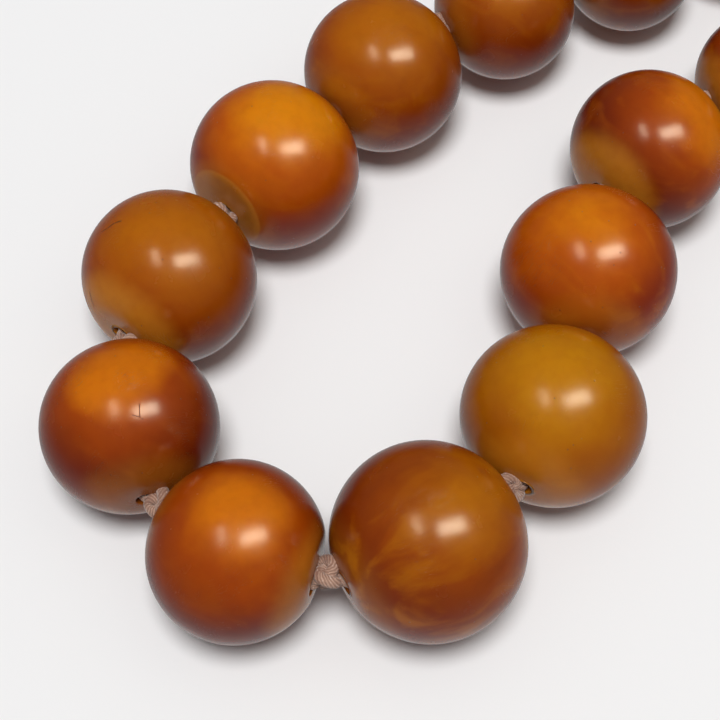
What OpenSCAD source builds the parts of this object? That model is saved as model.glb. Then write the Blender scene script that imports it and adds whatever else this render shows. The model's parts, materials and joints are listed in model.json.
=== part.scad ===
// Strand of graduated prayer beads, knotted between every two beads,
// with a leader bead and a tassel. Lies flat on the XY plane, +Z up,
// the bend of the strand towards -Y and the tassel towards +Y.

/* [Beads] */
// Diameter of the largest bead
largest_d = 28; // [26:0.5:30]
// How much each bead is smaller than the one before it along the arms
graduation = 0.95; // [0.8:0.05:1.05]
// Length of a bead along its bore, as a share of its diameter
length_ratio = 0.95; // [0.92:0.01:0.97]
// Diameter of the drilled bore
bore_d = 2.6; // [2.4:0.1:3]
// Gap left between neighbouring beads, per bead
bead_gap = 0.1; // [0.1:0.05:0.5]

/* [Cord] */
// Diameter of the silk cord
cord_d = 1.8; // [1.4:0.1:2]
// Diameter of a knot
knot_d = 4.4; // [3.8:0.1:4.6]
// Clearance between a knot and what turns round it
knot_gap = 0.3; // [0.25:0.05:0.4]

/* [Leader bead] */
// Length of the leader bead
leader_len = 34; // [28:1:40]
// Widest diameter of the leader bead
leader_d = 17; // [15:1:18]
// Diameter of the leader bead's tip
leader_tip_d = 9; // [8:0.5:10]
// Diameter of the leader bead's bore, which holds the doubled cord
leader_bore_d = 4.4; // [4.2:0.1:5]

/* [Tassel] */
// Length of the cord between leader bead and tassel
neck_len = 8; // [7:1:14]
// Diameter of the tassel's head
head_d = 11; // [9:0.5:12]
// Length of the tassel's threads below the binding
skirt_len = 50; // [35:1:70]
// Diameter of the threads at their free ends
skirt_d = 16; // [13:1:17]

/* [Hidden] */
$fn = 64;

// Numbers of the beads at the two ends of the rigid bend and of the strand
bend_first = 14;
bend_last = 22;
bead_count = 33;

// Beads of the bend, each smaller than the largest one by this much
bend_drop = [3, 2, 2, 2.5, 2.5, 0, 1.5, 2, 3.5];
arm_first_d = largest_d - 5;
bead_d = [
    for (i = [1 : bead_count])
        i < bend_first ? arm_first_d - (bend_first - 1 - i) * graduation
      : i > bend_last ? arm_first_d - (i - bend_last - 1) * graduation
      : largest_d - bend_drop[i - bend_first]
];
function radius(i) = bead_d[i - 1] / 2;

// Direction of each bead of the bend, in degrees from +X, walking from
// the left arm round to the right arm
bend_heading = [289, 294, 300, 348, 398, 453, 491, 508, 468];

// Both arms leave the bend in the same directions, bead by bead: the
// first bead, the inner run, the outer run and the last bead. The two
// runs have one length and lie in one line, so the loop stays closed as
// it sways and as it spreads.
first_heading = 88;
inner_heading = [91, 89, 87, 88];
outer_heading = [90, 92, 92, 90, 87];
last_heading = 90;
inner_count = len(inner_heading);
outer_count = len(outer_heading);
arm_count = 2 + inner_count + outer_count;

// Two more beads and a bare stretch of cord bring the left arm round to
// the leader bead
left_end_heading = [74, 56];

function total(list, n) = n <= 0 ? 0 : list[n - 1] + total(list, n - 1);
function step(length, heading) = length * [cos(heading), sin(heading)];
function sum_steps(list, n) = n <= 0 ? [0, 0] : list[n - 1] + sum_steps(list, n - 1);

// Distance in plan from a bead's centre to a knot where the strand turns
// by this much, with the beads' sides just clear of each other there
function reach(r, turn) =
    r * (length_ratio + (1 - length_ratio) * sin(abs(turn) / 2)) / cos(turn / 2) + bead_gap;

// The most that the strand turns at the knots where the loop gives
hinge_turn = 31;

// --- arms, counted outward from the bend -----------------------------
function arm_d(k) = arm_first_d - k * graduation;

// Raw runs, before the outer one is laid in line with the inner one
function run_turn(headings, n) =
    n < 1 || n >= len(headings) ? hinge_turn : headings[n] - headings[n - 1];
function run_reach(headings, first, n, side) =
    reach(arm_d(first + n) / 2, run_turn(headings, n + side));
function run_step(headings, first, n) =
    step(
        run_reach(headings, first, n, 0) + run_reach(headings, first, n, 1),
        headings[n]
    );
function run_chord(headings, first) =
    sum_steps(
        [for (n = [0 : len(headings) - 1]) run_step(headings, first, n)],
        len(headings)
    );
inner_chord = run_chord(inner_heading, 1);
outer_raw = run_chord(outer_heading, 1 + inner_count);
outer_swing = atan2(inner_chord[1], inner_chord[0]) - atan2(outer_raw[1], outer_raw[0]);
outer_scale = norm(inner_chord) / norm(outer_raw);

arm_heading = concat(
    [first_heading],
    inner_heading,
    [for (heading = outer_heading) heading + outer_swing],
    [last_heading]
);
function arm_reach(k, side) =
    k == 0 || k == arm_count - 1
        ? reach(arm_d(k) / 2, hinge_turn)
    : k <= inner_count
        ? run_reach(inner_heading, 1, k - 1, side)
    : outer_scale * run_reach(outer_heading, 1 + inner_count, k - 1 - inner_count, side);
arm_steps = [
    for (k = [0 : arm_count - 1])
        step(arm_reach(k, 0) + arm_reach(k, 1), arm_heading[k])
];

// --- knots in plan ---------------------------------------------------
// knot(i) follows bead i, and knot(0) is the left end of the strand
bend_count = bend_last - bend_first + 1;
function bend_turn(n) =
    n <= 0 || n >= bend_count ? hinge_turn : bend_heading[n] - bend_heading[n - 1];
bend_reach_in = [for (n = [0 : bend_count - 1]) reach(radius(bend_first + n), bend_turn(n))];
bend_reach_out = [for (n = [0 : bend_count - 1]) reach(radius(bend_first + n), bend_turn(n + 1))];
bend_steps = [
    for (n = [0 : bend_count - 1])
        step(bend_reach_in[n] + bend_reach_out[n], bend_heading[n])
];
bend_start = [0, 0];
bend_end = bend_start + sum_steps(bend_steps, bend_count);

left_end_steps = [
    for (n = [0 : len(left_end_heading) - 1])
        step(2 * reach(arm_d(arm_count + n) / 2, hinge_turn), left_end_heading[n])
];
left_arm_end = bend_start + sum_steps(arm_steps, arm_count);
left_end = left_arm_end + sum_steps(left_end_steps, len(left_end_heading));
right_end = bend_end + sum_steps(arm_steps, arm_count);

function raw_knot(i) =
    i < bend_first - 1 - arm_count
        ? left_arm_end + sum_steps(left_end_steps, bend_first - 1 - arm_count - i)
    : i < bend_first
        ? bend_start + sum_steps(arm_steps, bend_first - 1 - i)
    : i <= bend_last
        ? bend_start + sum_steps(bend_steps, i - bend_first + 1)
    : bend_end + sum_steps(arm_steps, i - bend_last);

// Share of a bead's length that lies before its centre
function share(i) =
    i < bend_first - arm_count || i == bend_first - 1 || i == bend_last + 1
        ? 0.5
    : i < bend_first
        ? arm_reach(bend_first - 1 - i, 1)
            / (arm_reach(bend_first - 1 - i, 0) + arm_reach(bend_first - 1 - i, 1))
    : i <= bend_last
        ? bend_reach_in[i - bend_first]
            / (bend_reach_in[i - bend_first] + bend_reach_out[i - bend_first])
    : arm_reach(i - bend_last - 1, 0)
        / (arm_reach(i - bend_last - 1, 0) + arm_reach(i - bend_last - 1, 1));

// --- heights ---------------------------------------------------------
// Each knot sits midway between the heights of its two beads, and the
// whole strand is lifted until its lowest bead just meets the floor
function bare_height(i) =
    i == 0 ? radius(1)
  : i == bead_count ? radius(bead_count)
  : (radius(i) + radius(i + 1)) / 2;
function bare_centre(i) = bare_height(i - 1) * (1 - share(i)) + bare_height(i) * share(i);
lift = max([for (i = [1 : bead_count]) radius(i) - bare_centre(i)]);

// --- leader bead and tassel in plan ----------------------------------
mouth_ahead = 15;
mouth = (left_end + right_end) / 2 + [0, mouth_ahead];
axis_z = leader_d / 2;
doubled_d = 2 * cord_d;

// The knot that ties both ends together sits this far beyond the leader
// bead's tip, and is this much thicker than the others
end_knot_proud = 1.5;
end_knot_d = knot_d + 1;
leader_knot_ahead = leader_len + end_knot_proud;

// Shape of the leader bead: where it is widest and how much its base
// draws in, both as shares, with a cone sunk into the base
leader_peak = 0.3;
leader_draw_in = 0.42;
leader_steps = 20;
leader_mouth_d = 9;
leader_mouth_depth = 5;

// Along the tassel from its hinge: clear of the knot, then the head, the
// binding that takes up its last part, and the threads
clear_of_knot = knot_d / 2 + knot_gap;
bound_len = 1.6;
head_start = clear_of_knot;
binding_start = head_start + head_d - bound_len;
binding_len = 5;
binding_d = 8;
tail_len = neck_len + binding_start + binding_len + skirt_len;

// --- origin at the middle of the whole strand's floor area -----------
raw_knots = [for (i = [0 : bead_count]) raw_knot(i)];
raw_centres = [
    for (i = [1 : bead_count])
        raw_knots[i - 1] * (1 - share(i)) + raw_knots[i] * share(i)
];
low_x = min([for (i = [1 : bead_count]) raw_centres[i - 1][0] - radius(i)]);
high_x = max([for (i = [1 : bead_count]) raw_centres[i - 1][0] + radius(i)]);
low_y = min([for (i = [1 : bead_count]) raw_centres[i - 1][1] - radius(i)]);
high_y = mouth[1] + leader_knot_ahead + tail_len;
origin = [(low_x + high_x) / 2, (low_y + high_y) / 2];

function flat(p, z) = [p[0] - origin[0], p[1] - origin[1], z];
function knot(i) = flat(raw_knots[i], bare_height(i) + lift);
function centre(i) = knot(i - 1) * (1 - share(i)) + knot(i) * share(i);
mouth_at = flat(mouth, axis_z);
leader_knot = mouth_at + [0, leader_knot_ahead, 0];
tassel_hinge = leader_knot + [0, neck_len, 0];

two_digits = [for (i = [0 : bead_count]) str(i < 10 ? "0" : "", i)];
function bead_name(i) = str("bead_", two_digits[i]);

// Stretches of cord between the knots where the loop gives: name, first
// knot (on the hinge it hangs from) and last knot (which it owns)
arm_knots = [0, 1, 1 + inner_count, 1 + inner_count + outer_count, arm_count];
left_knots = [for (n = arm_knots) bend_first - 1 - n];
right_knots = [for (n = arm_knots) bend_last + n];
arm_segments = len(arm_knots) - 1;

amber = "#b8590f";
dark_amber = "#96420c";
silk = "#b98f78";
thread = "#8c4a22";

// Stands a shape's +Z axis along the line from a to b, with its origin at a
module aim(a, b) {
    d = b - a;
    translate(a)
        rotate([0, acos(d[2] / norm(d)), atan2(d[1], d[0])])
            children();
}

// Half outline of a bead: a round side with slightly flattened ends
module bead_outline(r) {
    side_r = r * length_ratio;
    intersection() {
        union() {
            translate([r - side_r, 0])
                circle(r = side_r);
            translate([0, -side_r])
                square([r - side_r, 2 * side_r]);
        }
        translate([0, -r])
            square([2 * r, 2 * r]);
    }
}

module bead(i) {
    c = centre(i);
    before = norm(c - knot(i - 1));
    after = norm(knot(i) - c);
    color(i % 3 == 0 ? dark_amber : amber)
        aim(c, knot(i))
            difference() {
                rotate_extrude()
                    bead_outline(radius(i));
                cylinder(h = 4 * radius(i), d = bore_d, center = true);
                translate([0, 0, -before])
                    sphere(r = clear_of_knot);
                translate([0, 0, after])
                    sphere(r = clear_of_knot);
            }
}

// Cord from a to b, starting this far from a
module cord_between(a, b, start = 0, d = cord_d) {
    aim(a, b)
        translate([0, 0, start])
            cylinder(h = norm(b - a) - start, d = d);
}

// A knot, turned so that the sphere's seam faces away from the cord
module knot_ball(i) {
    before = knot(max(i - 1, 0));
    after = knot(min(i + 1, bead_count));
    translate(knot(i))
        rotate([0, 0, atan2(after[1] - before[1], after[0] - before[0]) + 90])
            sphere(d = knot_d);
}

// Cord with its knots, outward from the hinge at knot first to knot last
module cord_run(first, last) {
    way = last > first ? 1 : -1;
    color(silk)
        union() {
            for (i = [first : way : last - way]) {
                cord_between(knot(i), knot(i + way), i == first ? clear_of_knot : 0);
                knot_ball(i + way);
            }
        }
}

module cord_bend() {
    color(silk)
        union() {
            knot_ball(bend_first - 1);
            for (i = [bend_first : bend_last]) {
                cord_between(knot(i - 1), knot(i));
                knot_ball(i);
            }
        }
}

// Both ends of the strand run bare to the leader bead, go through it
// together and are tied in a knot behind it
module cord_end() {
    first = left_knots[arm_segments];
    color(silk)
        union() {
            for (i = [first : -1 : 1]) {
                cord_between(knot(i), knot(i - 1), i == first ? clear_of_knot : 0);
                knot_ball(i - 1);
            }
            cord_between(knot(0), mouth_at);
            cord_between(knot(bead_count), mouth_at, clear_of_knot);
            translate(mouth_at)
                sphere(d = doubled_d);
            cord_between(mouth_at, leader_knot, 0, doubled_d);
            translate(leader_knot)
                sphere(d = end_knot_d);
        }
}

// Half outline of the leader bead: a round base that tapers to its tip
function leader_r(t) =
    let (belly = leader_d / 2, tip = leader_tip_d / 2)
    t < leader_peak
        ? belly * sqrt(1 - leader_draw_in * pow((leader_peak - t) / leader_peak, 2))
        : tip + (belly - tip) * (1 + cos(180 * (t - leader_peak) / (1 - leader_peak))) / 2;

module leader_bead() {
    color(amber)
        translate(mouth_at)
            rotate([-90, 0, 0])
                difference() {
                    rotate_extrude()
                        polygon(concat(
                            [[0, 0]],
                            [
                                for (n = [0 : leader_steps])
                                    [leader_r(n / leader_steps), leader_len * n / leader_steps]
                            ],
                            [[0, leader_len]]
                        ));
                    translate([0, 0, -1])
                        cylinder(h = leader_len + 2, d = leader_bore_d);
                    translate([0, 0, -0.01])
                        cylinder(h = leader_mouth_depth, d1 = leader_mouth_d, d2 = leader_bore_d);
                    translate([0, 0, leader_knot_ahead])
                        sphere(d = end_knot_d + 2 * knot_gap);
                }
}

module tassel_cord() {
    start = end_knot_d / 2 + knot_gap;
    color(silk)
        union() {
            cord_between(leader_knot, tassel_hinge, start, doubled_d);
            translate(tassel_hinge)
                sphere(d = knot_d);
        }
}

// The tassel lies on the floor beyond its hinge, along +Y
module on_tassel() {
    translate(tassel_hinge)
        rotate([-90, 0, 0])
            children();
}

module tassel_head() {
    color(thread)
        on_tassel()
            difference() {
                translate([0, 0, head_start + head_d / 2])
                    sphere(d = head_d);
                translate([0, 0, binding_start])
                    cylinder(h = head_d, d = head_d);
            }
}

module tassel_binding() {
    color(silk)
        on_tassel()
            translate([0, 0, binding_start])
                cylinder(h = binding_len, d = binding_d);
}

module tassel_skirt() {
    color(thread)
        on_tassel()
            translate([0, 0, binding_start + binding_len])
                cylinder(h = skirt_len, d1 = binding_d, d2 = skirt_d);
}

for (i = [1 : bead_count])
    bead(i);
cord_bend();
for (n = [1 : arm_segments]) {
    cord_run(left_knots[n - 1], left_knots[n]);
    cord_run(right_knots[n - 1], right_knots[n]);
}
cord_end();
leader_bead();
tassel_cord();
tassel_head();
tassel_binding();
tassel_skirt();
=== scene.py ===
"""A strand of resin prayer beads knotted on silk, with a leader bead and a tassel."""

import json
import logging
import math
import random
from dataclasses import dataclass, field
from enum import Enum
from typing import Iterable, Optional, Union

import bmesh
import bpy
from mathutils import Matrix, Vector, noise


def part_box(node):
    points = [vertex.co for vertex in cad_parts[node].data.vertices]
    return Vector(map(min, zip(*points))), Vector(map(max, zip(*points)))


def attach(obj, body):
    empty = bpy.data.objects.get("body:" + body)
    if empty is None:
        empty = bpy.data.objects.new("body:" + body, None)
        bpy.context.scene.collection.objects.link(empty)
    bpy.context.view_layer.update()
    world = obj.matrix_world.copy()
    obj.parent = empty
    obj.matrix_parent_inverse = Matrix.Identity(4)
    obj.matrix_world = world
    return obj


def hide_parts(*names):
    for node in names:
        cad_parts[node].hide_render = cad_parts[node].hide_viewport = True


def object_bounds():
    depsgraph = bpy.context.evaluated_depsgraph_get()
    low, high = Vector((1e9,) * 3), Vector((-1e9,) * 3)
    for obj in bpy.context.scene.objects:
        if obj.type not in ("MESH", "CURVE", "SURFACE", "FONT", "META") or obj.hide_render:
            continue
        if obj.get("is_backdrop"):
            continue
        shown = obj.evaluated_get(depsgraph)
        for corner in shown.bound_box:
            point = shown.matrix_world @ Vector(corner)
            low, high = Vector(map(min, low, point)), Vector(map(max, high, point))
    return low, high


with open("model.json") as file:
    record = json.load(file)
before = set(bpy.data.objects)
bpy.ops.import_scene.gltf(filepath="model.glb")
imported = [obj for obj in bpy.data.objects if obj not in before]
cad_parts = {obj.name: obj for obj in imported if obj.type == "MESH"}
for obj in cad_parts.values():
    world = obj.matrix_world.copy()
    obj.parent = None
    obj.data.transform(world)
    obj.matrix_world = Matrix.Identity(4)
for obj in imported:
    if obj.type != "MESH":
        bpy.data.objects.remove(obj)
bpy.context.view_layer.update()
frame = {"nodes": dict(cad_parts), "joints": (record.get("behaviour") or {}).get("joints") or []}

log = logging.getLogger("prayer_beads")

MM = 0.001
TURN = 2 * math.pi
JOINTS = {joint["name"]: joint for joint in frame["joints"]}
BEAD_COUNT = sum(name.startswith("bead_") for name in frame["nodes"])
UP = Vector((0, 0, 1))
Colour = tuple[float, float, float]


def joint_place(name: str) -> Vector:
    """Returns the point that the named joint turns about, in metres."""
    return Vector(JOINTS[name]["pos_m"])


def facing(place: Vector, along: Vector, up: Vector = UP) -> Matrix:
    """Frame at a place with +Z along a direction and +Y as near up as it can be.

    Args:
        place: Origin of the frame.
        along: Direction of +Z.
        up: Direction that +Y leans to.

    Returns:
        The frame as a 4 by 4 matrix.
    """
    z = along.normalized()
    x = up.cross(z).normalized()
    y = z.cross(x)
    turned = Matrix((x, y, z)).transposed().to_4x4()
    return Matrix.Translation(place) @ turned


# --- shader maths ------------------------------------------------------


class Value:
    """A number in a shader: one socket, with the usual arithmetic written as nodes."""

    def __init__(self, paint: "Paint", socket: bpy.types.NodeSocket) -> None:
        """Wraps one output socket of a paint's node tree."""
        self.paint = paint
        self.socket = socket

    def _maths(self, operation: str, *others: "Amount", clamp: bool = False) -> "Value":
        """Adds one Math node with this value first."""
        return self.paint.maths(operation, self, *others, clamp=clamp)

    def __add__(self, other: "Amount") -> "Value":
        """Sum."""
        return self._maths("ADD", other)

    __radd__ = __add__

    def __sub__(self, other: "Amount") -> "Value":
        """Difference."""
        return self._maths("SUBTRACT", other)

    def __rsub__(self, other: "Amount") -> "Value":
        """Reflected difference, so that 1 - mask works."""
        return self.paint.maths("SUBTRACT", other, self)

    def __mul__(self, other: "Amount") -> "Value":
        """Product."""
        return self._maths("MULTIPLY", other)

    __rmul__ = __mul__

    def __abs__(self) -> "Value":
        """Size without sign."""
        return self._maths("ABSOLUTE")

    def most(self, other: "Amount") -> "Value":
        """The larger of the two."""
        return self._maths("MAXIMUM", other)

    def clear(self) -> "Value":
        """Held between 0 and 1."""
        return self._maths("ADD", 0.0, clamp=True)


Amount = Union[Value, float]


class Paint:
    """A material under construction."""

    def __init__(self, name: str) -> None:
        """Starts an empty node tree with an output."""
        self.material = bpy.data.materials.new(name)
        self.material.use_nodes = True
        self.tree = self.material.node_tree
        self.tree.nodes.clear()
        self.out = self.tree.nodes.new("ShaderNodeOutputMaterial")

    def node(self, kind: str, settings: Optional[dict] = None, **inputs: object) -> bpy.types.Node:
        """Adds a node, sets its options first, and then its sockets.

        Args:
            kind: Node type without the ShaderNode prefix.
            settings: Options such as an operation.
            inputs: Socket values or links; spaces in names are underscores.

        Returns:
            The node.
        """
        made = self.tree.nodes.new("ShaderNode" + kind)
        for key, value in (settings or {}).items():
            setattr(made, key, value)
        for key, value in inputs.items():
            self.join(made, key.replace("_", " "), value)
        return made

    def join(self, node: bpy.types.Node, socket: Union[str, int], value: object) -> None:
        """Sets or links one input of a node.

        Args:
            node: The node.
            socket: Name or number of its input.
            value: A value or a link.
        """
        end = node.inputs[socket]
        if isinstance(value, Value):
            self.tree.links.new(value.socket, end)
        elif isinstance(value, bpy.types.NodeSocket):
            self.tree.links.new(value, end)
        elif isinstance(value, (tuple, list, Vector)) and end.type == "RGBA" and len(value) == 3:
            end.default_value = (*value, 1)
        else:
            end.default_value = value

    def maths(self, operation: str, *terms: Amount, clamp: bool = False) -> Value:
        """Adds a Math node and returns its value.

        Args:
            operation: Its operation.
            terms: Its inputs, in order.
            clamp: True to hold the result between 0 and 1.

        Returns:
            The result.
        """
        made = self.node("Math", {"operation": operation, "use_clamp": clamp})
        for place, term in enumerate(terms):
            self.join(made, place, term)
        return Value(self, made.outputs[0])

    def vector(self, operation: str, *terms: object, **inputs: object) -> bpy.types.NodeSocket:
        """Adds a Vector Math node and returns its vector.

        Args:
            operation: Its operation.
            terms: Its inputs, in order.
            inputs: Inputs given by name.

        Returns:
            The vector's socket.
        """
        made = self.node("VectorMath", {"operation": operation}, **inputs)
        for place, term in enumerate(terms):
            self.join(made, place, term)
        return made.outputs["Vector"]

    def dot(self, vector: bpy.types.NodeSocket, direction: Iterable[float]) -> Value:
        """How far a vector reaches along a fixed direction.

        Args:
            vector: The vector's link.
            direction: The direction.

        Returns:
            The dot product.
        """
        made = self.node("VectorMath", {"operation": "DOT_PRODUCT"})
        self.join(made, 0, vector)
        self.join(made, 1, tuple(direction))
        return Value(self, made.outputs["Value"])

    def distance(self, vector: bpy.types.NodeSocket, point: Iterable[float]) -> Value:
        """Distance of a vector from a fixed point.

        Args:
            vector: The vector's link.
            point: The point.

        Returns:
            The distance.
        """
        made = self.node("VectorMath", {"operation": "DISTANCE"})
        self.join(made, 0, vector)
        self.join(made, 1, tuple(point))
        return Value(self, made.outputs["Value"])

    def smooth(self, value: Amount, low: float, high: float) -> Value:
        """Soft step from 0 at low to 1 at high, either way round.

        Args:
            value: What is stepped.
            low: Where the step starts.
            high: Where it ends.

        Returns:
            The step.
        """
        made = self.node(
            "MapRange",
            {"interpolation_type": "SMOOTHSTEP"},
            Value=value,
            From_Min=low,
            From_Max=high,
        )
        return Value(self, made.outputs["Result"])

    def blend(self, share: Amount, first: object, second: object) -> bpy.types.NodeSocket:
        """Mixes two colours.

        Args:
            share: How much of the second shows, 0 to 1.
            first: Colour or link under.
            second: Colour or link over.

        Returns:
            The mixed colour's socket.
        """
        made = self.node("Mix", {"data_type": "RGBA"})
        self.join(made, 0, share)
        self.join(made, 6, first)
        self.join(made, 7, second)
        return made.outputs[2]

    def cloud(self, place: object, size: float, detail: float = 3, twist: float = 0) -> Value:
        """Noise value, about 0.5 on average.

        Args:
            place: Coordinates.
            size: Noise scale.
            detail: Octaves.
            twist: Distortion.

        Returns:
            The noise value.
        """
        made = self.node("TexNoise", Vector=place, Scale=size, Detail=detail, Distortion=twist)
        return Value(self, made.outputs[0])

    def drift(self, place: object, size: float, reach: float) -> bpy.types.NodeSocket:
        """Coordinates pushed about by a soft noise.

        Args:
            place: Coordinates.
            size: Noise scale.
            reach: How far they are pushed.

        Returns:
            The moved coordinates.
        """
        made = self.node("TexNoise", Vector=place, Scale=size, Detail=2)
        centred = self.vector("SUBTRACT", made.outputs["Color"], (0.5, 0.5, 0.5))
        return self.vector("ADD", place, self.vector("SCALE", centred, Scale=reach))

    def finish(self, shader: bpy.types.Node) -> bpy.types.Material:
        """Joins the last shader to the output and returns the material."""
        self.tree.links.new(shader.outputs[0], self.out.inputs["Surface"])
        return self.material


# --- finishes ----------------------------------------------------------


@dataclass(frozen=True)
class Crack:
    """A short dark crack in a bead's skin: where it is, how it runs and how long it is."""

    at: tuple[float, float, float]
    runs: tuple[float, float, float]
    length: float = 0.2
    width: float = 0.006


class Tone(Enum):
    """Resin tones: colour of the painted glow on the lit side, of the body, and of the painted shade on the
    far side; the first and last also colour the light and dark marble, and the last the fine mottling.
    """

    ORANGE = ((0.70, 0.225, 0.0005), (0.49, 0.092, 0.0005), (0.22, 0.019, 0.0008))
    GOLDEN = ((0.44, 0.125, 0.0005), (0.34, 0.070, 0.0005), (0.20, 0.021, 0.0008))
    OCHRE = ((0.50, 0.190, 0.0005), (0.36, 0.096, 0.0005), (0.23, 0.046, 0.0008))
    CHESTNUT = ((0.46, 0.145, 0.0005), (0.28, 0.050, 0.0005), (0.17, 0.018, 0.0008))
    RUSSET = ((0.60, 0.155, 0.0005), (0.36, 0.056, 0.0005), (0.15, 0.013, 0.0008))


@dataclass(frozen=True)
class Resin:
    """Old polished resin with drifting marble, painted with a glow on its lit side that fades into painted
    shade on the far side.

    Directions are in the strand's own frame; sizes are in bead radii.
    """

    tone: Tone = Tone.GOLDEN
    # Where the painted glow of light from above sits, and where it starts and ends; the far side is painted
    # as shade.
    painted_glow_dir: tuple[float, float, float] = (0.0, 0.0, 1.0)
    painted_glow_from: float = 0.70
    painted_glow_to: float = 1.0
    marble: float = 0.2
    marble_runs: tuple[float, float, float] = (0.9, 0.4, 0.0)
    pale_start: float = 0.25
    pale_finish: float = 0.25
    pale_from: float = 0.80
    disc: float = 0.0
    cracks: tuple[Crack, ...] = ()
    pits: float = 0.3
    hairlines: float = 0.2

    def material(
        self, name: str, place: Vector, along: Vector, radius: float, seed: int, face: Vector = UP
    ) -> bpy.types.Material:
        """Makes the resin for one bead.

        Args:
            name: Material name.
            place: Centre of the bead.
            along: Direction of its bore.
            radius: Its radius.
            seed: Which stretch of the noise it is cut from.
            face: Direction of its worn end face, as long as the face is deep.

        Returns:
            The material.
        """
        paint = Paint(name)
        coords = paint.node("TexCoord").outputs["Object"]
        unit = paint.node(
            "Mapping",
            {"vector_type": "TEXTURE"},
            Vector=coords,
            Location=tuple(place),
            Scale=(radius, radius, radius),
        ).outputs[0]
        own = paint.vector("ADD", unit, (3.7 * seed, 1.9 * seed, 0.0))
        glow_and_light_resin_colour, body_colour, shade_and_dark_resin_colour = self.tone.value

        # Painted light and shade: the side towards the glow direction is painted glowing as if lit from
        # above, and the far side darker as painted shade, over the resin's own body tone.
        warp = paint.cloud(own, 1.2, 2) - 0.5
        lit = paint.dot(unit, Vector(self.painted_glow_dir).normalized()) + 0.5 * warp
        out_of_shade = paint.smooth(lit, self.painted_glow_from - 0.6, self.painted_glow_from + 0.2)
        colour = paint.blend(out_of_shade, shade_and_dark_resin_colour, body_colour)
        colour = paint.blend(paint.smooth(lit, self.painted_glow_from, self.painted_glow_to), colour, glow_and_light_resin_colour)

        colour = self._marbled(paint, colour, own)
        colour = self._worn_ends(paint, colour, unit, own, along)
        if self.disc > 0:
            cut = paint.smooth(paint.dot(unit, face.normalized()), face.length - 0.026, face.length - 0.012)
            colour = paint.blend(self.disc * cut, colour, (0.52, 0.225, 0.030))
        fine = paint.cloud(own, 9.0, 4)
        colour = paint.blend(0.10 * paint.smooth(fine, 0.35, 0.75), colour, shade_and_dark_resin_colour)

        scratches = self._scratches(paint, own)
        pits = self._pits(paint, own)
        cracks = self._cracked(paint, unit, own)
        marks = cracks.most(0.6 * pits).most(self.hairlines * scratches).clear()
        colour = paint.blend(0.9 * marks, colour, (0.035, 0.008, 0.003))

        haze = paint.cloud(own, 3.0, 3)
        rough = 0.215 + 0.06 * paint.smooth(haze, 0.35, 0.7) + 0.25 * marks
        relief = 0.12 * paint.cloud(own, 5.0, 3) - 1.2 * cracks - 0.8 * pits - 0.12 * scratches
        bump = paint.node("Bump", Strength=0.35, Distance=0.02 * radius, Height=relief)
        shader = paint.node(
            "BsdfPrincipled",
            {"subsurface_method": "RANDOM_WALK"},
            Base_Color=colour,
            Roughness=rough,
            IOR=1.49,
            Normal=bump.outputs[0],
            Subsurface_Weight=0.35,
            Subsurface_Radius=(1.0, 0.42, 0.12),
            Subsurface_Scale=0.003,
        )
        return paint.finish(shader)

    def _marbled(self, paint: Paint, colour: object, own: object) -> bpy.types.NodeSocket:
        """Clouds and drawn-out streaks of lighter and darker resin.

        Args:
            paint: The material's paint.
            colour: Colour under the streaks.
            own: The bead's own stretch of the noise.

        Returns:
            The streaked colour.
        """
        glow_and_light_resin_colour, _, shade_and_dark_resin_colour = self.tone.value
        runs = Vector(self.marble_runs).normalized()
        turned = runs.to_track_quat("X", "Z").to_euler()
        drawn = paint.node(
            "Mapping",
            {"vector_type": "TEXTURE"},
            Vector=paint.drift(own, 1.0, 0.45),
            Rotation=tuple(turned),
            Scale=(5.5, 0.9, 0.9),
        ).outputs[0]
        streak = paint.cloud(drawn, 2.6, 5, 0.3)
        light = paint.smooth(streak, 0.48, 0.70)
        dark = paint.smooth(streak, 0.47, 0.28)
        colour = paint.blend(self.marble * light, colour, glow_and_light_resin_colour)
        return paint.blend(0.6 * self.marble * dark, colour, shade_and_dark_resin_colour)

    def _worn_ends(self, paint: Paint, colour: object, unit: object, own: object, along: Vector) -> object:
        """Paler resin where the skin has worn off round the holes.

        Args:
            paint: The material's paint.
            colour: Colour under the wear.
            unit: Place on the bead, in radii.
            own: The bead's own stretch of the noise.
            along: Direction of the bore.

        Returns:
            The worn colour.
        """
        reach = paint.dot(unit, along) + 0.10 * (paint.cloud(own, 2.2, 2) - 0.5)
        pale = (0.60, 0.235, 0.018)
        for side, share in ((-1, self.pale_start), (1, self.pale_finish)):
            if share > 0:
                worn = paint.smooth(reach * side, self.pale_from - 0.16, self.pale_from + 0.08)
                colour = paint.blend(share * worn, colour, pale)
        return colour

    def _scratches(self, paint: Paint, own: object) -> Value:
        """Faint hairlines from years of handling.

        Args:
            paint: The material's paint.
            own: The bead's own stretch of the noise.

        Returns:
            Their mask.
        """
        drawn = paint.node("Mapping", Vector=paint.drift(own, 1.7, 0.35), Scale=(26.0, 3.0, 3.0)).outputs[0]
        line = paint.cloud(drawn, 1.6, 2)
        return paint.smooth(abs(line - 0.5), 0.012, 0.0) * paint.smooth(paint.cloud(own, 1.6, 1), 0.52, 0.66)

    def _pits(self, paint: Paint, own: object) -> Value:
        """Pin-prick pits, more in some places than in others.

        Args:
            paint: The material's paint.
            own: The bead's own stretch of the noise.

        Returns:
            Their mask.
        """
        if self.pits <= 0:
            return paint.maths("ADD", 0.0, 0.0)
        cells = paint.node("TexVoronoi", {"feature": "F1"}, Vector=own, Scale=8.5)
        near = paint.smooth(Value(paint, cells.outputs["Distance"]), 0.10, 0.05)
        lot = paint.node("SeparateColor", Color=cells.outputs["Color"]).outputs[0]
        return near * paint.smooth(Value(paint, lot), 1 - self.pits, 1 - self.pits + 0.05)

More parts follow.
